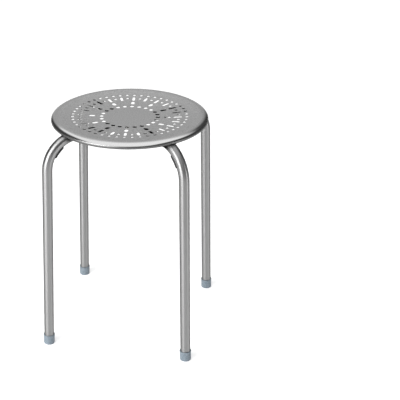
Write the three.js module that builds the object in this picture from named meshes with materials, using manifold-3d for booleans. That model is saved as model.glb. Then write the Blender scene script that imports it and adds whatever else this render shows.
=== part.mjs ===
// A four-legged stacking stool: a round pressed steel seat with a perforated pattern and a
// rolled rim, carried by two bent tubes that cross under it. Millimetres, +Z up, with the
// origin on the floor under the middle of the seat and the front of the stool towards -Y.
import * as THREE from 'three';
import { mergeVertices } from 'three/addons/utils/BufferGeometryUtils.js';
import Module from 'manifold-3d';

// Overall sizes
const SEAT_HEIGHT = 450;
const SEAT_DIAMETER = 300;

// Seat pan, one sheet: a flat middle, a shallow dish, a round shoulder and an edge curled under
const SHEET = 1;
const DISH_DEPTH = 5.8;
const DISH_FLAT_RADIUS = 42;
const SHOULDER_RADIUS = 7;
const CURL_RADIUS = 4;

// Perforations in the seat: the radius of the first ring, how far each next ring stands outside
// the one before, and the sizes of the holes and radial slots
const PUNCH_RING_RADIUS = 54;
const PUNCH_DIAMETER = 7;
const SHORT_SLOT_SPACING = 18;
const SHORT_SLOT_LENGTH = 11;
const SHORT_SLOT_WIDTH = 6;
const LONG_SLOT_SPACING = 20;
const LONG_SLOT_LENGTH = 16;
const LONG_SLOT_WIDTH = 5;
const INNER_DOT_SPACING = 2;
const OUTER_DOT_SPACING = 15;
const DOT_DIAMETER = 4.8;
const SPOKES = 24;

// Leg frames: two tubes, each bent into an upside-down U with legs that splay a little
const TUBE_DIAMETER = 19;
const TUBE_WALL = 1.5;
const BEND_RADIUS = 60;
const LEG_OUTSET = 31.7;
const LEG_SPLAY_DEGREES = 2.26;
const PRESS_MARGIN = 1.2;
const PRESS_RAMP = 16;

// Stacking pads: saddles on the inside of the bends, each held by a peg in a hole in the tube
const PAD_LENGTH = 24;
const PAD_THICKNESS = 2.4;
const PAD_WRAP_DEGREES = 110;
const PAD_CENTRE_DEGREES = 46;
const PEG_DIAMETER = 4.4;
const PEG_REACH = 2;

// Foot caps: ferrules over the tube ends, each with a steel washer between tube and sole
const CAP_WALL = 1.2;
const CAP_HEIGHT = 20;
const CAP_SOLE = 4;
const CAP_EDGE_RADIUS = 2.5;
const CAP_LIP = 0.4;
const CAP_LIP_HEIGHT = 1.6;
const WASHER_THICKNESS = 1.5;
const WASHER_BORE = 6;

// Clearance between pieces that touch, and how far a cutting tool passes through a wall
const FIT_GAP = 0.3;
const OVERRUN = 2;

// How finely the round forms are divided: the seat has one flat side for each outer dot
const SEAT_SIDES = 2 * SPOKES;
const TUBE_SIDES = 16;
const CAP_SIDES = 16;
const PUNCH_SIDES = 8;
const PEG_SIDES = 10;
const BEND_STEPS = 9;
const RAMP_STEPS = 3;
const PAD_STEPS = 4;
const DISH_STEPS = 5;
const ROUND_STEPS = 3;
const CURL_STEPS = 4;

const wasm = await Module();
wasm.setup();

const seatRadius = SEAT_DIAMETER / 2;
const tubeRadius = TUBE_DIAMETER / 2;
const splay = THREE.MathUtils.degToRad(LEG_SPLAY_DEGREES);

// The level run of both tubes lies just under the flat middle of the seat.
const panFloor = SEAT_HEIGHT - DISH_DEPTH;
const tubeLevel = panFloor - SHEET - FIT_GAP - tubeRadius;
const bendCentre = {
  radius: seatRadius + LEG_OUTSET - BEND_RADIUS * Math.cos(splay),
  height: tubeLevel - BEND_RADIUS,
};
const legTopHeight = bendCentre.height + BEND_RADIUS * Math.sin(splay);
const footRadius = seatRadius + LEG_OUTSET + legTopHeight * Math.tan(splay);

// Along the sloping leg, measured from where its centre line meets the floor
const washerSeat = CAP_SOLE + FIT_GAP;
const tubeEnd = washerSeat + WASHER_THICKNESS + FIT_GAP;
const capBore = tubeRadius + FIT_GAP;
const capRadius = capBore + CAP_WALL;

const finishes = {
  brushedSteel: new THREE.MeshStandardMaterial({ color: 0x9e9e9e, metalness: 1, roughness: 0.42 }),
  polishedSteel: new THREE.MeshStandardMaterial({ color: 0xa5a5a5, metalness: 1, roughness: 0.3 }),
  blackRubber: new THREE.MeshStandardMaterial({ color: 0x1b1b1c, metalness: 0, roughness: 0.7 }),
  greyBluePlastic: new THREE.MeshStandardMaterial({ color: 0x8796a3, metalness: 0, roughness: 0.6 }),
  plainSteel: new THREE.MeshStandardMaterial({ color: 0x8c8f92, metalness: 1, roughness: 0.5 }),
};

// Four places round the stool, by the angle of the diagonal that each leg stands on
const places = [
  { name: 'front_left', angle: -0.75 * Math.PI },
  { name: 'front_right', angle: -0.25 * Math.PI },
  { name: 'back_right', angle: 0.25 * Math.PI },
  { name: 'back_left', angle: 0.75 * Math.PI },
];

function solidFrom(geometry) {
  const bare = geometry.clone();
  bare.deleteAttribute('normal');
  bare.deleteAttribute('uv');
  const merged = mergeVertices(bare);
  return new wasm.Manifold(new wasm.Mesh({
    numProp: 3,
    vertProperties: Float32Array.from(merged.attributes.position.array),
    triVerts: Uint32Array.from(merged.index.array),
  }));
}

function geometryFrom(solid) {
  const mesh = solid.getMesh();
  const geometry = new THREE.BufferGeometry();
  geometry.setAttribute('position', new THREE.BufferAttribute(Float32Array.from(mesh.vertProperties), 3));
  geometry.setIndex(new THREE.BufferAttribute(Uint32Array.from(mesh.triVerts), 1));
  return geometry;
}

// A route in the upright XZ plane given by its stations, so that a section swept along it
// turns only where the route bends. The section's x points to the outside of the bend and
// its y points along the plane's normal.
class UprightRoute extends THREE.Curve {
  constructor(stations) {
    super();
    this.stations = stations;
    this.sideways = new THREE.Vector3(0, 1, 0);
  }

  get steps() {
    return this.stations.length - 1;
  }

  getSpacedPoints() {
    return this.stations;
  }

  computeFrenetFrames() {
    const tangents = this.stations.map((station, i) => {
      const before = this.stations[Math.max(i - 1, 0)];
      const after = this.stations[Math.min(i + 1, this.steps)];
      const arriving = station.clone().sub(before).normalize();
      const leaving = after.clone().sub(station).normalize();
      return arriving.add(leaving).normalize();
    });
    const binormals = tangents.map(() => this.sideways);
    const normals = tangents.map((tangent) => this.sideways.clone().cross(tangent));
    return { tangents, normals, binormals };
  }
}

// An arc in a shape is divided into twice its curve segments.
function sweep(shape, route, sidesPerArc) {
  const curveSegments = sidesPerArc / 2;
  return new THREE.ExtrudeGeometry(shape, { steps: route.steps, extrudePath: route, curveSegments });
}

function revolve(profile, sides) {
  const points = profile.map(([radius, height]) => new THREE.Vector2(radius, height));
  return new THREE.LatheGeometry(points, sides).rotateX(Math.PI / 2);
}

// Points of a profile arc, as [radius, height], from one angle to another
function arc(centre, radius, from, to, steps) {
  return Array.from({ length: steps + 1 }, (_, i) => {
    const angle = THREE.MathUtils.lerp(from, to, i / steps);
    return [centre[0] + radius * Math.cos(angle), centre[1] + radius * Math.sin(angle)];
  });
}

// The tube's centre line on one side, from the foot up the leg, round the bend and in towards
// the middle, where its stations follow the pressed stretch.
function halfRoute() {
  const foot = new THREE.Vector3(footRadius - tubeEnd * Math.sin(splay), 0, tubeEnd * Math.cos(splay));
  const bend = arc([bendCentre.radius, bendCentre.height], BEND_RADIUS, splay, Math.PI / 2, BEND_STEPS)
    .map(([x, z]) => new THREE.Vector3(x, 0, z));
  const flat = tubeRadius + PRESS_MARGIN;
  const ramp = Array.from({ length: RAMP_STEPS + 1 }, (_, i) =>
    new THREE.Vector3(flat + PRESS_RAMP * (1 - i / RAMP_STEPS), 0, tubeLevel));
  return [foot, ...bend, ...ramp];
}

// Where the two tubes cross, a flat die presses each to half its height, one from below and
// the other from above, so that they lie in one plane. The inner skin stays a wall away.
function pressCrossing(geometry, side) {
  const position = geometry.attributes.position;
  const flat = tubeRadius + PRESS_MARGIN;
  const midSkin = tubeRadius - TUBE_WALL / 2;
  for (let i = 0; i < position.count; i += 1) {
    const along = Math.abs(position.getX(i));
    const across = position.getY(i);
    const rise = side * (position.getZ(i) - tubeLevel);
    if (along > flat + PRESS_RAMP) continue;
    const wall = Math.hypot(across, rise) < midSkin ? TUBE_WALL : 0;
    const travel = THREE.MathUtils.smoothstep(along, flat, flat + PRESS_RAMP);
    const die = THREE.MathUtils.lerp(FIT_GAP / 2, -tubeRadius, travel);
    position.setZ(i, tubeLevel + side * Math.max(rise, die + wall));
  }
  return geometry;
}

// A peg or drill along the line from the bend's centre through the middle of a pad
function radialPin(radius, from, to) {
  const angle = THREE.MathUtils.degToRad(PAD_CENTRE_DEGREES);
  const middle = (from + to) / 2;
  return new THREE.CylinderGeometry(radius, radius, to - from, PEG_SIDES)
    .rotateZ(-Math.PI / 2)
    .rotateY(-angle)
    .translate(
      bendCentre.radius + middle * Math.cos(angle),
      0,
      bendCentre.height + middle * Math.sin(angle),
    );
}

// A bent tube from foot to foot; side is 1 where the die presses it from below, -1 from above.
function legFrame(side) {
  const half = halfRoute();
  const mirrored = half.map((point) => new THREE.Vector3(-point.x, point.y, point.z)).reverse();
  const section = new THREE.Shape().absarc(0, 0, tubeRadius, 0, 2 * Math.PI);
  section.holes.push(new THREE.Path().absarc(0, 0, tubeRadius - TUBE_WALL, 0, 2 * Math.PI));
  const tube = pressCrossing(sweep(section, new UprightRoute([...half, ...mirrored]), TUBE_SIDES), side);
  const drill = radialPin(PEG_DIAMETER / 2 + FIT_GAP, BEND_RADIUS - tubeRadius - OVERRUN, BEND_RADIUS);
  const farDrill = drill.clone().rotateZ(Math.PI);
  return geometryFrom(solidFrom(tube).subtract(solidFrom(drill)).subtract(solidFrom(farDrill)));
}

function stackingPad() {
  const inside = tubeRadius + FIT_GAP;
  const outside = inside + PAD_THICKNESS;
  const half = THREE.MathUtils.degToRad(PAD_WRAP_DEGREES / 2);
  const saddle = new THREE.Shape()
    .absarc(0, 0, outside, Math.PI - half, Math.PI + half)
    .absarc(0, 0, inside, Math.PI + half, Math.PI - half, true);
  const reach = PAD_LENGTH / (BEND_RADIUS - outside) / 2;
  const middle = THREE.MathUtils.degToRad(PAD_CENTRE_DEGREES);
  const stations = arc([bendCentre.radius, bendCentre.height], BEND_RADIUS, middle - reach, middle + reach, PAD_STEPS)
    .map(([x, z]) => new THREE.Vector3(x, 0, z));
  const shell = sweep(saddle, new UprightRoute(stations), TUBE_SIDES / 2);
  const innerFace = BEND_RADIUS - tubeRadius;
  const peg = radialPin(PEG_DIAMETER / 2, innerFace - FIT_GAP - PAD_THICKNESS / 2, innerFace + TUBE_WALL + PEG_REACH);
  return geometryFrom(solidFrom(shell).add(solidFrom(peg)));
}

// The cap follows the sloping leg, and its sole is trimmed level with the floor.
function footCap() {
  const trim = capRadius * Math.tan(splay);
  const corner = [capRadius - CAP_EDGE_RADIUS, CAP_EDGE_RADIUS - trim];
  const body = revolve([
    [0, -trim],
    ...arc(corner, CAP_EDGE_RADIUS, -Math.PI / 2, 0, ROUND_STEPS),
    [capRadius, CAP_HEIGHT - CAP_LIP_HEIGHT],
    [capRadius + CAP_LIP, CAP_HEIGHT - CAP_LIP_HEIGHT + CAP_LIP],
    [capRadius + CAP_LIP, CAP_HEIGHT - CAP_LIP],
    [capRadius, CAP_HEIGHT],
    [capBore, CAP_HEIGHT],
    [capBore, CAP_SOLE],
    [0, CAP_SOLE],
  ], CAP_SIDES);
  const ground = new THREE.BoxGeometry(4 * capRadius, 4 * capRadius, CAP_HEIGHT).translate(0, 0, -CAP_HEIGHT / 2);
  return geometryFrom(solidFrom(leanOnLeg(body)).subtract(solidFrom(ground)));
}

function footWasher() {
  const rim = capBore - FIT_GAP;
  const low = washerSeat;
  const high = washerSeat + WASHER_THICKNESS;
  const bore = WASHER_BORE / 2;
  return leanOnLeg(revolve([[bore, low], [rim, low], [rim, high], [bore, high], [bore, low]], CAP_SIDES));
}

// Tilts a piece that was turned about the upright axis onto the slope of the leg.
function leanOnLeg(geometry) {
  return geometry.rotateY(-splay);
}

// The seat's rolled edge stands on the outside of the tube bends, so its height follows them.
function curlHeight() {
  const centreRadius = seatRadius - CURL_RADIUS;
  const run = Math.max(centreRadius - bendCentre.radius, 0);
  const reach = BEND_RADIUS + tubeRadius + FIT_GAP + CURL_RADIUS;
  return bendCentre.height + Math.sqrt(reach * reach - run * run);
}

// The upper face of the sheet from the axis out over the shoulder and round the curl, and then
// its under face back, a sheet's thickness away along the normal.
function panProfile() {
  const curlCentre = [seatRadius - CURL_RADIUS, curlHeight()];
  const shoulder = Math.min(SHOULDER_RADIUS, SEAT_HEIGHT - curlCentre[1]);
  const crest = new THREE.Vector2(seatRadius - shoulder, SEAT_HEIGHT);
  const lowest = new THREE.Vector2(DISH_FLAT_RADIUS, panFloor);
  const turn = new THREE.Vector2((lowest.x + crest.x) / 2, panFloor);
  const dish = new THREE.QuadraticBezierCurve(lowest, turn, crest).getPoints(DISH_STEPS)
    .map((point) => [point.x, point.y]);
  const lean = Math.atan2(crest.y - turn.y, crest.x - turn.x);
  const over = arc([crest.x, SEAT_HEIGHT - shoulder], shoulder, Math.PI / 2 - lean, 0, ROUND_STEPS);
  const under = arc(curlCentre, CURL_RADIUS, 0, -Math.PI, CURL_STEPS);
  const upper = [...dish, ...over, ...under];
  const lower = upper.map((point, i) => {
    const before = upper[Math.max(i - 1, 0)];
    const after = upper[Math.min(i + 1, upper.length - 1)];
    const heading = i === 0 ? 0 : Math.atan2(after[1] - before[1], after[0] - before[0]);
    return [point[0] + SHEET * Math.sin(heading), point[1] - SHEET * Math.cos(heading)];
  });
  return [[0, panFloor - SHEET], ...lower, ...upper.reverse(), [0, panFloor]];
}

// A punch that passes through the pan: a round one, or a radial slot with round ends
function punch(length, width) {
  const straight = (length - width) / 2;
  const outline = new THREE.Shape()
    .absarc(straight, 0, width / 2, -Math.PI / 2, Math.PI / 2)
    .absarc(-straight, 0, width / 2, Math.PI / 2, 1.5 * Math.PI);
  const depth = DISH_DEPTH + SHEET + 2 * OVERRUN;
  return new THREE.ExtrudeGeometry(outline, { depth, bevelEnabled: false, curveSegments: PUNCH_SIDES / 4 })
    .translate(0, 0, SEAT_HEIGHT + OVERRUN - depth);
}

// Punches spaced evenly round the seat; offset turns the ring by a share of that spacing.
function punchRing(radius, count, offset, length, width) {
  return Array.from({ length: count }, (_, i) => {
    const angle = 2 * Math.PI * (i + offset) / count;
    return solidFrom(punch(length, width).translate(radius, 0, 0).rotateZ(angle));
  });
}

function seatPan() {
  const shortSlotRing = PUNCH_RING_RADIUS + SHORT_SLOT_SPACING;
  const longSlotRing = shortSlotRing + LONG_SLOT_SPACING;
  const innerDotRing = longSlotRing + INNER_DOT_SPACING;
  const outerDotRing = innerDotRing + OUTER_DOT_SPACING;
  const punches = [
    ...punchRing(PUNCH_RING_RADIUS, SPOKES, 0.5, PUNCH_DIAMETER, PUNCH_DIAMETER),
    ...punchRing(shortSlotRing, SPOKES / 2, 0.25, SHORT_SLOT_LENGTH, SHORT_SLOT_WIDTH),
    ...punchRing(longSlotRing, SPOKES, 0.5, LONG_SLOT_LENGTH, LONG_SLOT_WIDTH),
    ...punchRing(innerDotRing, SPOKES, 0, DOT_DIAMETER, DOT_DIAMETER),
    ...punchRing(outerDotRing, 2 * SPOKES, 0, DOT_DIAMETER, DOT_DIAMETER),
  ];
  const pan = solidFrom(revolve(panProfile(), SEAT_SIDES).rotateZ(Math.PI / SEAT_SIDES));
  return geometryFrom(punches.reduce((left, tool) => left.subtract(tool), pan));
}

const stool = new THREE.Group();
stool.name = 'stacking_stool';

function addPiece(name, geometry, finish, angle = 0, radius = 0) {
  const mesh = new THREE.Mesh(geometry, finish.clone());
  mesh.name = name;
  mesh.rotation.z = angle;
  mesh.position.set(radius * Math.cos(angle), radius * Math.sin(angle), 0);
  stool.add(mesh);
}

addPiece('seat_pan', seatPan(), finishes.brushedSteel);
// At the crossing the tube from back left to front right lies on top.
addPiece('leg_frame_upper', legFrame(1), finishes.polishedSteel, places[3].angle);
addPiece('leg_frame_lower', legFrame(-1), finishes.polishedSteel, places[2].angle);
for (const { name, angle } of places) {
  addPiece(`stacking_pad_${name}`, stackingPad(), finishes.blackRubber, angle);
  addPiece(`foot_cap_${name}`, footCap(), finishes.greyBluePlastic, angle, footRadius);
  addPiece(`foot_washer_${name}`, footWasher(), finishes.plainSteel, angle, footRadius);
}

export default stool;
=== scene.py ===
import math

import bmesh
import bpy
from mathutils import Matrix, Vector
from mathutils.geometry import delaunay_2d_cdt


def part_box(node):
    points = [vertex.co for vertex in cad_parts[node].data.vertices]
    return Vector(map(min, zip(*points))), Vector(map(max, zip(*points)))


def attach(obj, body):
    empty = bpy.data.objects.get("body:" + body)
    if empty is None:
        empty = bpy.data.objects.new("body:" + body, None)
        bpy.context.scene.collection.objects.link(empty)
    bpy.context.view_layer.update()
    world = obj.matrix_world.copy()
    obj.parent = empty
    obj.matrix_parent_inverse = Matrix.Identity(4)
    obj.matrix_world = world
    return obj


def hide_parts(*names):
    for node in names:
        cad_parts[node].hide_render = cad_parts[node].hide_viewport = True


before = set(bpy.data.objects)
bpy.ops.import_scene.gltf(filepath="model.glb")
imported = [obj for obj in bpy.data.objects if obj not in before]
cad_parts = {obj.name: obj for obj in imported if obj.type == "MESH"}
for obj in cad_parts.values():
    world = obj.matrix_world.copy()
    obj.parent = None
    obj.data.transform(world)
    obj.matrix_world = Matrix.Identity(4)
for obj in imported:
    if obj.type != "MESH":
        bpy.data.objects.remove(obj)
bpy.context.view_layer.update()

# The camera stands two metres off, a little to the right of the stool's front, and looks down
# at it through a short telephoto lens. The lens is shifted sideways, which puts the stool in
# the left half of the picture.
camera_azimuth = 0.22336
camera_elevation = 0.461214
camera_roll = -0.009637
camera_distance = 1.934196
camera_lens = 86.545
lens_shift = 0.1775
sensor_width = 36
aim_height = 0.225
aim_right = -0.003197
aim_up = 0.036787

camera_back = Vector((
    math.sin(camera_azimuth) * math.cos(camera_elevation),
    -math.cos(camera_azimuth) * math.cos(camera_elevation),
    math.sin(camera_elevation),
))
level_right = Vector((0, 0, 1)).cross(camera_back).normalized()
level_up = camera_back.cross(level_right)
camera_right = math.cos(camera_roll) * level_right + math.sin(camera_roll) * level_up
camera_up = -math.sin(camera_roll) * level_right + math.cos(camera_roll) * level_up
camera_place = (
    Vector((0, 0, aim_height))
    + aim_right * camera_right
    + aim_up * camera_up
    + camera_distance * camera_back
)
camera_data = bpy.data.cameras.new("stool_camera")
camera_data.sensor_fit = "HORIZONTAL"
camera_data.sensor_width = sensor_width
camera_data.lens = camera_lens
camera_data.shift_x = lens_shift
camera = bpy.data.objects.new("stool_camera", camera_data)
camera.matrix_world = Matrix.Translation(camera_place) @ Matrix((
    camera_right, camera_up, camera_back,
)).transposed().to_4x4()
bpy.context.collection.objects.link(camera)
bpy.context.scene.camera = camera
bpy.context.scene.view_settings.view_transform = "Standard"

# The studio floor is a wide sheet of pale matt paper. It keeps the stool's soft shadow, and it
# is lifted to white where the camera, or the bare metal, sees it.
floor_half = 30
paper_tone = 0.8
paper_lift = 0.46


def grey(tone):
    return (tone, tone, tone, 1)


def feed(tree, socket, value):
    if isinstance(value, bpy.types.NodeSocket):
        tree.links.new(value, socket)
    else:
        socket.default_value = value


def set_inputs(tree, node, **inputs):
    for name, value in inputs.items():
        feed(tree, node.inputs[name.replace("_", " ")], value)


def add_node(tree, kind, settings=None, **inputs):
    node = tree.nodes.new(kind)
    for key, value in (settings or {}).items():
        setattr(node, key, value)
    set_inputs(tree, node, **inputs)
    return node


def combined(tree, kind, operation, first, second):
    node = add_node(tree, kind, {"operation": operation})
    feed(tree, node.inputs[0], first)
    feed(tree, node.inputs[1], second)
    return node.outputs[0]


def new_finish(name):
    finish = bpy.data.materials.new(name)
    finish.use_nodes = True
    return finish, finish.node_tree, finish.node_tree.nodes["Principled BSDF"]


def link_object(name, mesh):
    piece = bpy.data.objects.new(name, mesh)
    bpy.context.collection.objects.link(piece)
    return piece


def pale_paper():
    finish, tree, shader = new_finish("pale_paper")
    rays = add_node(tree, "ShaderNodeLightPath")
    seen = combined(tree, "ShaderNodeMath", "MAXIMUM",
                    rays.outputs["Is Camera Ray"], rays.outputs["Is Glossy Ray"])
    seen_at_all = combined(tree, "ShaderNodeMath", "MAXIMUM",
                           seen, rays.outputs["Is Transmission Ray"])
    lift = combined(tree, "ShaderNodeMath", "MULTIPLY", seen_at_all, paper_lift)
    set_inputs(tree, shader, Base_Color=grey(paper_tone), Roughness=1, Specular_IOR_Level=0,
               Emission_Color=grey(1), Emission_Strength=lift)
    return finish


floor_mesh = bpy.data.meshes.new("studio_floor")
floor_mesh.from_pydata(
    [(-floor_half, -floor_half, 0), (floor_half, -floor_half, 0),
     (floor_half, floor_half, 0), (-floor_half, floor_half, 0)],
    [], [(0, 1, 2, 3)],
)
studio_floor = link_object("studio_floor", floor_mesh)
floor_mesh.materials.append(pale_paper())

# The light is a studio room. The wall behind the stool is pale but for its right half, the other
# walls are dark, and a white cloth hangs overhead, lower on the left. A large soft lamp stands at
# the front left and a small one to the right.
pale_wall_tone = 0.62
wall_foot_tone = 0.95
dark_wall_tone = 0.08
cloth_tone = 1.35
# where one part of the room fades into the next, along one axis of a direction from the stool
wall_foot_edge = (0, 0.5)
pale_wall_right_edge = (-0.05, 0.2)
back_wall_edge = (-0.3, 0.3)
low_cloth_right_edge = (-0.3, -0.45)
low_cloth_lower_edge = (0.46, 0.56)
cloth_right_edge = (0.38, 0.58)
cloth_lower_edge = (0.55, 0.8)
left_wall_edge = (-0.5, -0.66)
# name, place, aim, width, height and power of each lamp
lamps = [
    ("left_lamp", (-1.05, -1.43, 1.0), (0, 0, 0.25), 1.6, 1.7, 19),
    ("right_lamp", (1.95, -0.45, 0.4), (0, 0, 0.2), 0.5, 0.8, 2.0),
]
lamp_spread = math.radians(110)
# the sockets of a mix node's first value, second value and result
mix_sockets = {"FLOAT": (2, 3, 0), "RGBA": (6, 7, 2)}


def eased(tree, value, edge):
    start, end = edge
    share = add_node(tree, "ShaderNodeMapRange", {"interpolation_type": "SMOOTHSTEP"},
                     Value=value, From_Min=start, From_Max=end)
    return share.outputs[0]


def blend(tree, kind, share, first, second):
    mix = add_node(tree, "ShaderNodeMix", {"data_type": kind})
    first_socket, second_socket, result = mix_sockets[kind]
    feed(tree, mix.inputs[0], share)
    feed(tree, mix.inputs[first_socket], first)
    feed(tree, mix.inputs[second_socket], second)
    return mix.outputs[result]


def studio_room():
    room = bpy.data.worlds.new("studio_room")
    room.use_nodes = True
    tree = room.node_tree
    direction = add_node(tree, "ShaderNodeTexCoord")
    heading = add_node(tree, "ShaderNodeSeparateXYZ", Vector=direction.outputs["Generated"])

    def beyond(axis, edge):
        return eased(tree, heading.outputs[axis], edge)

    def part(share, first, second):
        return blend(tree, "FLOAT", share, first, second)

    back_wall = part(beyond("Z", wall_foot_edge), wall_foot_tone, pale_wall_tone)
    back_wall = part(beyond("X", pale_wall_right_edge), back_wall, dark_wall_tone)
    walls = part(beyond("Y", back_wall_edge), dark_wall_tone, back_wall)
    low_cloth = part(beyond("X", low_cloth_right_edge), 0, beyond("Z", low_cloth_lower_edge))
    walls = part(low_cloth, walls, cloth_tone)
    overhead = part(beyond("X", cloth_right_edge), cloth_tone, dark_wall_tone)
    whole = part(beyond("Z", cloth_lower_edge), walls, overhead)
    whole = part(beyond("X", left_wall_edge), whole, dark_wall_tone)
    set_inputs(tree, tree.nodes["Background"], Color=whole)
    return room


bpy.context.scene.world = studio_room()
for name, place, aim, width, height, power in lamps:
    lamp_data = bpy.data.lights.new(name, "AREA")
    lamp_data.shape = "RECTANGLE"
    lamp_data.size = width
    lamp_data.size_y = height
    lamp_data.energy = power
    lamp_data.spread = lamp_spread
    lamp = bpy.data.objects.new(name, lamp_data)
    lamp.location = place
    lamp.rotation_mode = "QUATERNION"
    lamp.rotation_quaternion = (Vector(aim) - Vector(place)).to_track_quat("-Z", "Y")
    bpy.context.collection.objects.link(lamp)

# The seat is one sheet of steel, pressed to a shallow dish, punched in rings and rolled under
# at its edge. The dish has a fine satin grain and the rolled edge is polished. The lower half of
# the rolled edge is painted dark, a painted dark reflection, and the walls of the holes and the
# underside are painted darker, as painted shade. It stands on the two tubes and is welded to them
# from below.
seat_radius = 0.150
seat_top = 0.450
sheet = 0.001
dish_depth = 0.0058
dish_flat_radius = 0.042
curl_radius = 0.004
curl_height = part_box("seat_pan")[0][2] + curl_radius
shoulder_drop = seat_top - curl_height
shoulder_reach = 0.0145
crest_radius = seat_radius - shoulder_reach
# ring radius, count, turn in steps, length and width of the hole
punch_rings = [
    (0.054, 24, 0.5, 0.0078, 0.0078),
    (0.072, 12, 0.25, 0.0120, 0.0070),
    (0.092, 24, 0.5, 0.0164, 0.0052),
    (0.094, 24, 0, 0.0056, 0.0056),
    (0.109, 48, 0, 0.0056, 0.0056),
]
punch_edge = 0.00045
punch_points = 20
seat_sides = 192
seat_crease = math.radians(30)
grid_step = 0.0042
punch_margin = grid_step / 3
border_margin = 1.5 * grid_step
fewest_around = 6
inner_grid_radii = [0.0002, 0.008, 0.016, 0.024, 0.031, 0.037, 0.042, 0.046]
punched_radius = 0.118
outer_dish_radii = (0.121, 0.124, 0.127, 0.130, 0.133)
shoulder_steps = 18
curl_steps = 22
inside_outline_only = 1
joining_distance = 1e-7

seat_tint = 0.5
satin_tones = (0.15, 0.84)
polished_tone = 0.57
# painted dark reflection: the lower half of the rolled edge is painted dark
curl_dark_reflection_tone = 0.15
# painted shade: the walls of the punched holes are painted near-black
hole_wall_shade_tone = 0.03
# painted shade: the underside of the sheet is painted darker than its top
underside_shade_tone = 0.38
satin_roughness = (0.38, 0.48)
polished_roughness = 0.13
unpolished_roughness = 0.4
polish_edge = (crest_radius - 0.002, crest_radius + 0.008)
steep_edge = (0.8, 0.4)
underside_edge = (-0.85, -0.98)
seat_fineness = 520
seat_relief = 0.12
grain_depth = 0.0001
grain_detail = 3
grain_harshness = 0.6
cloud_scale = 14
cloud_detail = 2
cloud_harshness = 0.5


def dish_height(radius):
    along = max(radius - dish_flat_radius, 0) / (crest_radius - dish_flat_radius)
    return seat_top - dish_depth * (1 - along * along)


def punch_outline(ring_radius, angle, length, width, swell):
    straight = (length - width) / 2
    half_width = width / 2 + swell
    turned = Matrix.Rotation(angle, 2)
    outline = []
    for i in range(punch_points):
        around = 2 * math.pi * (i + 0.5) / punch_points - math.pi / 2
        end = straight if i < punch_points / 2 else -straight
        local = Vector((ring_radius + end + half_width * math.cos(around),
                        half_width * math.sin(around)))
        outline.append(turned @ local)
    return outline


def clear_of_punches(point, punches):
    for ring_radius, angle, length, width in punches:
        local = Matrix.Rotation(-angle, 2) @ point
        along = max(abs(local.x - ring_radius) - (length - width) / 2, 0)
        if math.hypot(along, local.y) < width / 2 + punch_margin:
            return False
    return True


def circle_points(radius, count):
    turns = [2 * math.pi * i / count for i in range(count)]
    return [Vector((radius * math.cos(turn), radius * math.sin(turn))) for turn in turns]


def closed_lines(start, count):
    return [(start + i, start + (i + 1) % count) for i in range(count)]


def skin(shell, first, second):
    count = len(first)
    for i in range(count):
        j = (i + 1) % count
        shell.faces.new((first[i], first[j], second[j], second[i]))


def finished_mesh(name, shell, crease):
    bmesh.ops.recalc_face_normals(shell, faces=shell.faces)
    for face in shell.faces:
        face.smooth = True
    for edge in shell.edges:
        if len(edge.link_faces) == 2 and edge.calc_face_angle() > crease:
            edge.smooth = False
    mesh = bpy.data.meshes.new(name)
    shell.to_mesh(mesh)
    shell.free()
    return mesh


def rim_profile():
    upper = [(radius, dish_height(radius)) for radius in outer_dish_radii]
    lean = math.atan2(dish_depth, (crest_radius - dish_flat_radius) / 2)
    for i in range(shoulder_steps):
        turn = (math.pi / 2 - lean) * (1 - i / shoulder_steps)
        upper.append((crest_radius + shoulder_reach * math.cos(turn),
                      curl_height + shoulder_drop * math.sin(turn)))
    for i in range(curl_steps + 1):
        turn = -math.pi * i / curl_steps
        upper.append((seat_radius - curl_radius + curl_radius * math.cos(turn),
                      curl_height + curl_radius * math.sin(turn)))
    under = []
    for i, (radius, height) in enumerate(upper):
        before, after = upper[max(i - 1, 0)], upper[min(i + 1, len(upper) - 1)]
        heading = math.atan2(after[1] - before[1], after[0] - before[0])
        under.append((radius + sheet * math.sin(heading), height - sheet * math.cos(heading)))
    return upper + under[::-1]


def punched_blank(punches):
    spots, lines = [], []
    for punch in punches:
        lines += closed_lines(len(spots), punch_points)
        spots += punch_outline(*punch, punch_edge)
    edge_start = len(spots)
    lines += closed_lines(edge_start, seat_sides)
    spots += circle_points(punched_radius, seat_sides)
    grid_radii = list(inner_grid_radii)
    while grid_radii[-1] + border_margin < punched_radius:
        grid_radii.append(grid_radii[-1] + grid_step)
    for radius in grid_radii:
        around = max(fewest_around, round(2 * math.pi * radius / grid_step))
        spots += [spot for spot in circle_points(radius, around)
                  if clear_of_punches(spot, punches)]

    points, _, triangles, sources, _, _ = delaunay_2d_cdt(
        spots, lines, [], inside_outline_only, joining_distance)
    place_of = {source: i for i, found in enumerate(sources) for source in found}
    hole_of = [found[0] // punch_points if found[0] < edge_start else None for found in sources]
    metal = []
    for triangle in triangles:
        holes = {hole_of[i] for i in triangle}
        if len(holes) > 1 or None in holes:
            metal.append(triangle)
    hole_loops = [
        [place_of[start + i] for i in range(punch_points)]
        for start in range(0, edge_start, punch_points)
    ]
    edge_loop = [place_of[edge_start + i] for i in range(seat_sides)]
    return points, metal, hole_loops, edge_loop


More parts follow.
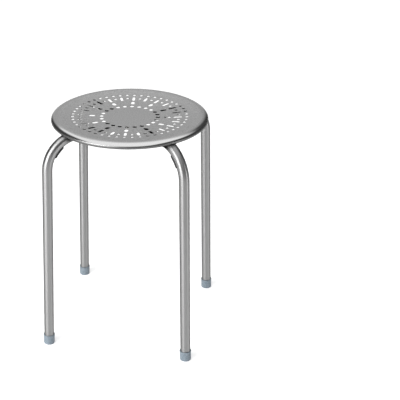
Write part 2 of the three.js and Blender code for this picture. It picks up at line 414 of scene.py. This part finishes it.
def pressed_seat():
    punches = [
        (ring_radius, 2 * math.pi * (i + turn) / count, length, width)
        for ring_radius, count, turn, length, width in punch_rings
        for i in range(count)
    ]
    points, metal, hole_loops, edge_loop = punched_blank(punches)
    shell = bmesh.new()
    top, bottom = [], []
    for point in points:
        height = dish_height(point.length)
        top.append(shell.verts.new((point.x, point.y, height)))
        bottom.append(shell.verts.new((point.x, point.y, height - sheet)))
    for triangle in metal:
        shell.faces.new([top[i] for i in triangle])
        shell.faces.new([bottom[i] for i in reversed(triangle)])

    for punch, hole_loop in zip(punches, hole_loops):
        walls = [[top[i] for i in hole_loop]]
        for drop in (punch_edge, sheet - punch_edge):
            walls.append([
                shell.verts.new((p.x, p.y, dish_height(p.length) - drop))
                for p in punch_outline(*punch, 0)
            ])
        walls.append([bottom[i] for i in hole_loop])
        for upper, lower in zip(walls, walls[1:]):
            skin(shell, upper, lower)

    rings = [[top[i] for i in edge_loop]]
    for radius, height in rim_profile():
        rings.append([
            shell.verts.new((p.x, p.y, height)) for p in circle_points(radius, seat_sides)
        ])
    rings.append([bottom[i] for i in edge_loop])
    for inner, outer in zip(rings, rings[1:]):
        skin(shell, outer, inner)
    return finished_mesh("seat", shell, seat_crease)


def satin_grain():
    group = bpy.data.node_groups.new("satin_grain", "ShaderNodeTree")
    for name, kind in (("Place", "NodeSocketVector"), ("Fineness", "NodeSocketFloat")):
        group.interface.new_socket(name, in_out="INPUT", socket_type=kind)
    for name in ("Grain", "Cloud"):
        group.interface.new_socket(name, in_out="OUTPUT", socket_type="NodeSocketFloat")
    entry = add_node(group, "NodeGroupInput")
    fine = add_node(group, "ShaderNodeTexNoise", Vector=entry.outputs["Place"],
                    Scale=entry.outputs["Fineness"], Detail=grain_detail,
                    Roughness=grain_harshness)
    cloud = add_node(group, "ShaderNodeTexNoise", Vector=entry.outputs["Place"],
                     Scale=cloud_scale, Detail=cloud_detail, Roughness=cloud_harshness)
    add_node(group, "NodeGroupOutput", Grain=fine.outputs["Fac"], Cloud=cloud.outputs["Fac"])
    return group


steel_grain = satin_grain()


def grain_at(tree, place, fineness):
    return add_node(tree, "ShaderNodeGroup", {"node_tree": steel_grain},
                    Place=place, Fineness=fineness)


def scaled(tree, value, limits):
    low, high = limits
    span = add_node(tree, "ShaderNodeMapRange", Value=value, To_Min=low, To_Max=high)
    return span.outputs[0]


def relief(tree, height, strength, depth):
    bump = add_node(tree, "ShaderNodeBump", Height=height, Strength=strength, Distance=depth)
    return bump.outputs[0]


def distance_from_middle(tree, place):
    flat_place = combined(tree, "ShaderNodeVectorMath", "MULTIPLY", place, (1, 1, 0))
    reach = add_node(tree, "ShaderNodeVectorMath", {"operation": "LENGTH"}, Vector=flat_place)
    return reach.outputs["Value"]


def satin_seat_steel():
    finish, tree, shader = new_finish("satin_seat_steel")
    place = add_node(tree, "ShaderNodeTexCoord")
    grain = grain_at(tree, place.outputs["Object"], seat_fineness).outputs["Grain"]
    facing = add_node(tree, "ShaderNodeSeparateXYZ", Vector=place.outputs["Normal"])
    polish = eased(tree, distance_from_middle(tree, place.outputs["Object"]), polish_edge)
    steep = eased(tree, facing.outputs["Z"], steep_edge)
    # faces turned downwards get a darker colour: painted shade
    underside = eased(tree, facing.outputs["Z"], underside_edge)

    satin = blend(tree, "RGBA", grain, *(grey(tone) for tone in satin_tones))
    upper = blend(tree, "RGBA", polish, satin, grey(polished_tone))
    # steep faces are painted dark: a painted dark reflection on the rolled edge, painted shade on
    # the hole walls
    side = blend(tree, "RGBA", polish, grey(hole_wall_shade_tone), grey(curl_dark_reflection_tone))
    outside = blend(tree, "RGBA", steep, upper, side)
    gloss = blend(tree, "FLOAT", polish, scaled(tree, grain, satin_roughness),
                  polished_roughness)
    grained = scaled(tree, polish, (seat_relief, 0))
    set_inputs(
        tree, shader, Metallic=1, Specular_Tint=grey(seat_tint),
        Base_Color=blend(tree, "RGBA", underside, outside, grey(underside_shade_tone)),
        Roughness=blend(tree, "FLOAT", steep, gloss, unpolished_roughness),
        Normal=relief(tree, grain, grained, grain_depth),
    )
    return finish


seat = link_object("seat", pressed_seat())
seat.data.materials.append(satin_seat_steel())
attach(seat, "root")
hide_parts("seat_pan")

# The legs are two steel tubes, each bent into an upside-down U that splays a little. At their
# crossing each is pressed to half its height, so that both lie in one plane. They are drawn tube
# with a bright satin polish. Under the seat and round the crossing their colour is painted
# near-black where the seat shades them: painted shade.
tube_radius = 0.0095
bend_radius = 0.060
leg_outset = 0.0317
leg_splay = math.radians(2.26)
fit_gap = 0.0003
tube_end = 0.0061
tube_level = seat_top - dish_depth - sheet - fit_gap - tube_radius
bend_centre = Vector((seat_radius + leg_outset - bend_radius * math.cos(leg_splay),
                      tube_level - bend_radius))
leg_top = bend_centre + bend_radius * Vector((math.cos(leg_splay), math.sin(leg_splay)))
foot_radius = leg_top.x + leg_top.y * math.tan(leg_splay)
press_ramp = 0.016
press_softness = 0.0012
press_clearance = 4 * press_softness
press_margin = 0.0012
pressed_half = tube_radius + press_margin
run_stop_gaps = (0.06, 0.02)
tube_sides = 48
tube_crease = math.radians(50)
leg_steps = 10
bend_steps = 30
ramp_steps = 18
# object, node, direction of the frame, side from which its crossing is spared
frames = [
    ("upper_frame", "leg_frame_upper", 3 * math.pi / 4, 1),
    ("lower_frame", "leg_frame_lower", math.pi / 4, -1),
]

tube_tones = (0.29, 0.34)
tube_roughness = (0.33, 0.39)
drawn_streaks = 0.9
streak_stretch = (0.02, 1, 1)
tube_fineness = 2500
tube_relief = 0.05
# painted shade: the tubes' colour goes near-black on their tops under the seat and round the
# crossing
under_seat_shade_tone = 0.02
shade_upper_edge = (tube_level - 0.009, tube_level - 0.002)
shade_outer_edge = (0.152, 0.138)
crossing_shade_edge = (0.046, 0.030)


def frame_route():
    foot = Vector((foot_radius - tube_end * math.sin(leg_splay), tube_end * math.cos(leg_splay)))
    outward = Vector((math.cos(leg_splay), math.sin(leg_splay)))
    route = [(foot.lerp(leg_top, i / leg_steps), outward) for i in range(leg_steps)]
    for i in range(bend_steps + 1):
        turn = leg_splay + (math.pi / 2 - leg_splay) * i / bend_steps
        outward = Vector((math.cos(turn), math.sin(turn)))
        route.append((bend_centre + bend_radius * outward, outward))
    run_stops = [pressed_half + press_ramp + gap for gap in run_stop_gaps]
    run_stops += [pressed_half + press_ramp * (1 - i / ramp_steps) for i in range(ramp_steps + 1)]
    run_stops += [pressed_half / 2, 0]
    route += [(Vector((x, tube_level)), outward) for x in run_stops]
    return route + [(Vector((-c.x, c.y)), Vector((-o.x, o.y))) for c, o in route[-2::-1]]


def pressed(along, rise):
    share = min(max((along - pressed_half) / press_ramp, 0), 1)
    travel = share * share * (3 - 2 * share)
    die = fit_gap / 2 + (-tube_radius - press_clearance - fit_gap / 2) * travel
    gap = rise - die
    return die + (gap + math.sqrt(gap * gap + press_softness ** 2)) / 2


def bent_frame(name, angle, side):
    shell = bmesh.new()
    unrolled = shell.loops.layers.uv.new("unrolled")
    turned = Matrix.Rotation(angle, 3, "Z")
    loops, distances, gone, last = [], [], 0, None
    for centre, outward in frame_route():
        gone += (centre - last).length if last else 0
        last = centre
        distances.append(gone)
        ring = []
        for i in range(tube_sides):
            around = 2 * math.pi * i / tube_sides
            local = centre + tube_radius * math.cos(around) * outward
            across = tube_radius * math.sin(around)
            rise = local.y
            if abs(local.x) < pressed_half + press_ramp:
                rise = tube_level + side * pressed(abs(local.x), side * (rise - tube_level))
            ring.append(shell.verts.new(turned @ Vector((local.x, across, rise))))
        loops.append(ring)
    for n in range(len(loops) - 1):
        for i in range(tube_sides):
            j = (i + 1) % tube_sides
            face = shell.faces.new((loops[n][i], loops[n][j], loops[n + 1][j], loops[n + 1][i]))
            spots = ((i, n), (i + 1, n), (i + 1, n + 1), (i, n + 1))
            for loop, (step, stop) in zip(face.loops, spots):
                around = 2 * math.pi * tube_radius * step / tube_sides
                loop[unrolled].uv = (distances[stop], around)
    shell.faces.new(loops[0])
    shell.faces.new(loops[-1])
    return link_object(name, finished_mesh(name, shell, tube_crease))


def drawn_tube_steel():
    finish, tree, shader = new_finish("drawn_tube_steel")
    lengthways = add_node(tree, "ShaderNodeTangent",
                          {"direction_type": "UV_MAP", "uv_map": "unrolled"})
    unrolled = add_node(tree, "ShaderNodeUVMap", {"uv_map": "unrolled"})
    drawn_out = combined(tree, "ShaderNodeVectorMath", "MULTIPLY",
                         unrolled.outputs[0], streak_stretch)
    grain = grain_at(tree, drawn_out, tube_fineness)
    bare = blend(tree, "RGBA", grain.outputs["Cloud"], *(grey(tone) for tone in tube_tones))

    place = add_node(tree, "ShaderNodeTexCoord")
    height = add_node(tree, "ShaderNodeSeparateXYZ", Vector=place.outputs["Object"])
    reach = distance_from_middle(tree, place.outputs["Object"])
    # the top of the tube under the seat and its middle at the crossing are painted near-black:
    # painted shade
    shaded_top = combined(tree, "ShaderNodeMath", "MULTIPLY",
                         eased(tree, height.outputs["Z"], shade_upper_edge),
                         eased(tree, reach, shade_outer_edge))
    painted_shade = combined(tree, "ShaderNodeMath", "MAXIMUM",
                     shaded_top, eased(tree, reach, crossing_shade_edge))
    set_inputs(
        tree, shader, Metallic=1, Specular_Tint=grey(0),
        Anisotropic=drawn_streaks, Tangent=lengthways.outputs[0],
        Base_Color=blend(tree, "RGBA", painted_shade, bare, grey(under_seat_shade_tone)),
        Roughness=scaled(tree, grain.outputs["Grain"], tube_roughness),
        Normal=relief(tree, grain.outputs["Grain"], tube_relief, grain_depth),
    )
    return finish


tube_steel = drawn_tube_steel()
for name, node, angle, side in frames:
    tube = bent_frame(name, angle, side)
    tube.data.materials.append(tube_steel)
    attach(tube, "root")
    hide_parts(node)

# Short beads of weld hold the frames together in the four corners of their crossing, and the
# rolled edge of the seat to both sides of each tube. They are rippled and dulled by the heat.
# Their near-black colour is partly heat tint and partly painted shade, darkening the gaps where
# the tubes pass under the rolled edge.
crossing_bead = 0.0034
crossing_bead_outset = 0.0012
crossing_bead_span = 0.9
crossing_bead_steps = 24
crossing_ripples = 7
rim_bead = 0.0017
rim_bead_outset = 0.0006
rim_bead_start = 16
rim_bead_sweep = 34
rim_bead_steps = 16
rim_ripples = 4
ripple_depth = 0.08
bead_end_bluntness = 4
bead_end_share = 0.01
bead_sides = 12
bead_crease = math.radians(60)

# near-black: partly heat tint, partly painted shade under the rolled edge
weld_tint_and_shade_colours = ((0.03, 0.028, 0.028, 1), (0.12, 0.11, 0.10, 1))
weld_roughness = (0.5, 0.7)
weld_fineness = 900


def close_rings(shell, rings):
    for first, second in zip(rings, rings[1:]):
        skin(shell, first, second)
    shell.faces.new(rings[0])
    shell.faces.new(rings[-1])


def add_bead(shell, points, radius, ripples):
    count = len(points)
    rings = []
    for n, point in enumerate(points):
        share = n / (count - 1)
        heading = (points[min(n + 1, count - 1)] - points[max(n - 1, 0)]).normalized()
        side = heading.orthogonal().normalized()
        other = heading.cross(side)
        swell = math.sqrt(max(1 - (2 * share - 1) ** bead_end_bluntness, bead_end_share))
        swell *= 1 + ripple_depth * math.cos(2 * math.pi * ripples * share)
        ring = []
        for i in range(bead_sides):
            turn = 2 * math.pi * i / bead_sides
            outward = math.cos(turn) * side + math.sin(turn) * other
            ring.append(shell.verts.new(point + radius * swell * outward))
        rings.append(ring)
    close_rings(shell, rings)


def bead_piece(name, beads, radius, ripples):
    shell = bmesh.new()
    for points in beads:
        add_bead(shell, points, radius, ripples)
    return link_object(name, finished_mesh(name, shell, bead_crease))


def crossing_beads():
    beads = []
    for quarter in range(4):
        turned = Matrix.Rotation(quarter * math.pi / 2, 3, "Z")
        points = []
        for i in range(crossing_bead_steps + 1):
            share = 1 - 2 * i / crossing_bead_steps
            rise = tube_radius * crossing_bead_span * share
            corner = math.sqrt(2 * (tube_radius ** 2 - rise ** 2))
            place = Vector((corner + crossing_bead_outset, 0, tube_level + rise))
            points.append(turned @ place)
        beads.append(points)
    return beads


def rim_beads():
    touch = math.atan2(curl_height - bend_centre.y, seat_radius - curl_radius - bend_centre.x)
    beads = []
    for quarter in range(4):
        turned = Matrix.Rotation(math.pi / 4 + quarter * math.pi / 2, 3, "Z")
        for side in (-1, 1):
            points = []
            for i in range(rim_bead_steps + 1):
                lean = side * math.radians(rim_bead_start + rim_bead_sweep * i / rim_bead_steps)
                reach = bend_radius + tube_radius * math.cos(lean) + rim_bead_outset
                points.append(turned @ Vector((bend_centre.x + reach * math.cos(touch),
                                               tube_radius * math.sin(lean),
                                               bend_centre.y + reach * math.sin(touch))))
            beads.append(points)
    return beads


def weld_tint_and_shade_steel():
    finish, tree, shader = new_finish("weld_tint_and_shade_steel")
    place = add_node(tree, "ShaderNodeTexCoord")
    grain = grain_at(tree, place.outputs["Object"], weld_fineness).outputs["Grain"]
    set_inputs(tree, shader, Metallic=1,
               Base_Color=blend(tree, "RGBA", grain, *weld_tint_and_shade_colours),
               Roughness=scaled(tree, grain, weld_roughness))
    return finish


weld_steel = weld_tint_and_shade_steel()
for name, beads, radius, ripples in (
    ("crossing_welds", crossing_beads(), crossing_bead, crossing_ripples),
    ("rim_welds", rim_beads(), rim_bead, rim_ripples),
):
    welds = bead_piece(name, beads, radius, ripples)
    welds.data.materials.append(weld_steel)
    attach(welds, "root")

# A black rubber saddle sits inside each bend, where the next stool in a stack would touch. It
# is moulded with rounded edges and held by a peg through the tube.
pad_length = 0.024
pad_thickness = 0.0024
pad_wrap = math.radians(104)
pad_middle = math.radians(45)
pad_edge_share = 0.04
pad_squareness = 7
pad_across_steps = 28
pad_along_steps = 22
pad_crease = math.radians(60)
corners = [
    ("front_left", -0.75 * math.pi),
    ("front_right", -0.25 * math.pi),
    ("back_right", 0.25 * math.pi),
    ("back_left", 0.75 * math.pi),
]

rubber_colours = ((0.010, 0.010, 0.011, 1), (0.022, 0.022, 0.024, 1))
rubber_roughness = (0.55, 0.75)
rubber_fineness = 1600
rubber_detail = 2
rubber_relief = 0.2
rubber_depth = 0.0002


def rounded(share):
    return (1 - abs(2 * share - 1) ** pad_squareness) ** 0.5


def moulded_saddle(name, angle):
    inside = tube_radius + fit_gap
    reach = pad_length / (bend_radius - inside - pad_thickness) / 2
    turned = Matrix.Rotation(angle, 3, "Z")
    shell = bmesh.new()
    sheets = []
    for outer in (False, True):
        rows = []
        for n in range(pad_along_steps + 1):
            along = n / pad_along_steps
            turn = pad_middle + reach * (2 * along - 1)
            outward = Vector((math.cos(turn), math.sin(turn)))
            row = []
            for i in range(pad_across_steps + 1):
                across = i / pad_across_steps
                around = math.pi + pad_wrap * (across - 0.5)
                radius = inside
                if outer:
                    swell = rounded(along) * rounded(across)
                    radius += pad_thickness * (pad_edge_share + (1 - pad_edge_share) * swell)
                local = bend_centre + (bend_radius + radius * math.cos(around)) * outward
                place = Vector((local.x, radius * math.sin(around), local.y))
                row.append(shell.verts.new(turned @ place))
            rows.append(row)
        sheets.append(rows)
        for n in range(pad_along_steps):
            for i in range(pad_across_steps):
                shell.faces.new((rows[n][i], rows[n][i + 1], rows[n + 1][i + 1], rows[n + 1][i]))
    borders = [
        rows[0][:-1] + [row[-1] for row in rows[:-1]] + rows[-1][:0:-1]
        + [row[0] for row in rows[:0:-1]]
        for rows in sheets
    ]
    skin(shell, *borders)
    return link_object(name, finished_mesh(name, shell, pad_crease))


def black_rubber():
    finish, tree, shader = new_finish("black_rubber")
    place = add_node(tree, "ShaderNodeTexCoord")
    grain = add_node(tree, "ShaderNodeTexNoise", Vector=place.outputs["Object"],
                     Scale=rubber_fineness, Detail=rubber_detail).outputs["Fac"]
    set_inputs(tree, shader,
               Base_Color=blend(tree, "RGBA", grain, *rubber_colours),
               Roughness=scaled(tree, grain, rubber_roughness),
               Normal=relief(tree, grain, rubber_relief, rubber_depth))
    return finish


rubber = black_rubber()
for corner, angle in corners:
    pad = moulded_saddle(f"pad_{corner}", angle)
    pad.data.materials.append(rubber)
    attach(pad, "root")
    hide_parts(f"stacking_pad_{corner}")

# Each foot has a push-on cap of mottled blue-grey plastic, with a rounded sole that stands
# level on the floor and a thin lip round its mouth.
cap_bore = tube_radius + fit_gap
cap_wall = 0.0012
cap_radius = cap_bore + cap_wall
cap_height = 0.020
cap_sole = 0.004
cap_edge = 0.0025
cap_edge_steps = 10
cap_lip = 0.0004
cap_lip_height = 0.0016
cap_lip_steps = 8
cap_mouth_edge = 0.0002
cap_middle = 0.0003
cap_sides = 64
cap_crease = math.radians(40)

plastic_tones = (
    (0.35, (0.165, 0.21, 0.255, 1)),
    (0.68, (0.30, 0.35, 0.39, 1)),
)
plastic_roughness = (0.5, 0.7)
mottle_scale = 420
mottle_detail = 4
mottle_harshness = 0.65
plastic_relief = 0.25
plastic_depth = 0.0003


def cap_profile():
    trim = cap_radius * math.tan(leg_splay)
    outside = [(cap_middle, -trim), (cap_radius / 2, -trim)]
    for i in range(cap_edge_steps + 1):
        turn = math.pi / 2 * (i / cap_edge_steps - 1)
        outside.append((cap_radius - cap_edge + cap_edge * math.cos(turn),
                        cap_edge - trim + cap_edge * math.sin(turn)))
    lip_low = cap_height - cap_lip_height
    lip = cap_lip_height / 2
    outside.append((cap_radius, lip_low - lip / 2))
    for i in range(cap_lip_steps + 1):
        turn = math.pi * (i / cap_lip_steps - 0.5)
        outside.append((cap_radius + cap_lip * math.cos(turn),
                        lip_low + lip + lip * math.sin(turn)))
    return outside + [
        (cap_bore + cap_mouth_edge, cap_height),
        (cap_bore, cap_height - cap_mouth_edge),
        (cap_bore, cap_sole),
        (cap_middle, cap_sole),
    ]


def moulded_cap(name, angle):
    shell = bmesh.new()
    turned = (Matrix.Rotation(angle, 4, "Z") @ Matrix.Translation((foot_radius, 0, 0))
              @ Matrix.Rotation(-leg_splay, 4, "Y"))
    rings = []
    for radius, height in cap_profile():
        ring = []
        for point in circle_points(radius, cap_sides):
            place = turned @ Vector((point.x, point.y, height))
            place.z = max(place.z, 0)
            ring.append(shell.verts.new(place))
        rings.append(ring)
    close_rings(shell, rings)
    return link_object(name, finished_mesh(name, shell, cap_crease))


def mottled_plastic():
    finish, tree, shader = new_finish("mottled_plastic")
    place = add_node(tree, "ShaderNodeTexCoord")
    mottle = add_node(tree, "ShaderNodeTexNoise", Vector=place.outputs["Object"],
                      Scale=mottle_scale, Detail=mottle_detail,
                      Roughness=mottle_harshness).outputs["Fac"]
    tone = add_node(tree, "ShaderNodeValToRGB", Fac=mottle)
    for stop, (position, colour) in zip(tone.color_ramp.elements, plastic_tones):
        stop.position = position
        stop.color = colour
    set_inputs(tree, shader, Base_Color=tone.outputs[0],
               Roughness=scaled(tree, mottle, plastic_roughness),
               Normal=relief(tree, mottle, plastic_relief, plastic_depth))
    return finish


plastic = mottled_plastic()
for corner, angle in corners:
    cap = moulded_cap(f"cap_{corner}", angle)
    cap.data.materials.append(plastic)
    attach(cap, "root")
    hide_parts(f"foot_cap_{corner}")

# Inside each cap a flat steel washer lies between the tube's end and the sole, and keeps the
# tube from cutting through the plastic. The washers are plain zinc-plated steel.
zinc_colours = ((0.44, 0.45, 0.47, 1), (0.55, 0.56, 0.58, 1))
zinc_roughness = 0.5
zinc_fineness = 700


def zinc_steel():
    finish, tree, shader = new_finish("zinc_steel")
    place = add_node(tree, "ShaderNodeTexCoord")
    grain = grain_at(tree, place.outputs["Object"], zinc_fineness).outputs["Grain"]
    set_inputs(tree, shader, Metallic=1, Roughness=zinc_roughness,
               Base_Color=blend(tree, "RGBA", grain, *zinc_colours))
    return finish


zinc = zinc_steel()
for corner, angle in corners:
    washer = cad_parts[f"foot_washer_{corner}"]
    washer.data.materials.clear()
    washer.data.materials.append(zinc)
